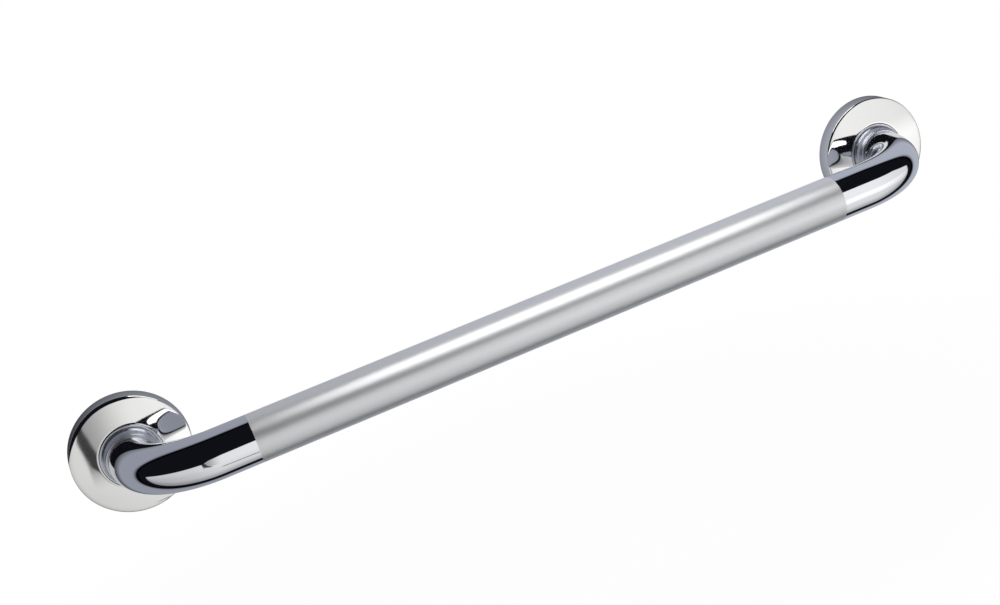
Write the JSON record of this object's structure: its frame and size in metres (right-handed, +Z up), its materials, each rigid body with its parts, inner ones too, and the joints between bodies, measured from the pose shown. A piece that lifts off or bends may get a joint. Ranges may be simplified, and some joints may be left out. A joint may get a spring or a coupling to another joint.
{
  "type": "grab bar",
  "caption": "Wall-mounted bent tube grab bar with a satin grip, polished ends, turned bosses and round covers that hide the screwed wall flanges",
  "frame": {"origin": "on the wall, midway between the axes of the two wall flanges", "axes": "+X along the bar, +Y into the wall, +Z up; the bar stands out towards -Y"},
  "size_m": [0.65, 0.088, 0.08],
  "materials": {
    "satin_and_polished_tube": "satin grip zone, mirror-polished bends",
    "turned_flange": "fine turned",
    "polished_cover": "mirror polished",
    "foam_gasket": "matt",
    "ring_rubber": "matt",
    "screw_steel": "plain"
  },
  "bodies": {
    "root": {"grip_tube": "satin_and_polished_tube", "wall_gasket_left": "foam_gasket", "wall_flange_left": "turned_flange", "cover_left": "polished_cover", "cover_ring_left": "ring_rubber", "grub_screw_left": "screw_steel", "wall_gasket_right": "foam_gasket", "wall_flange_right": "turned_flange", "cover_right": "polished_cover", "cover_ring_right": "ring_rubber", "grub_screw_right": "screw_steel"}
  },
  "joints": []
}
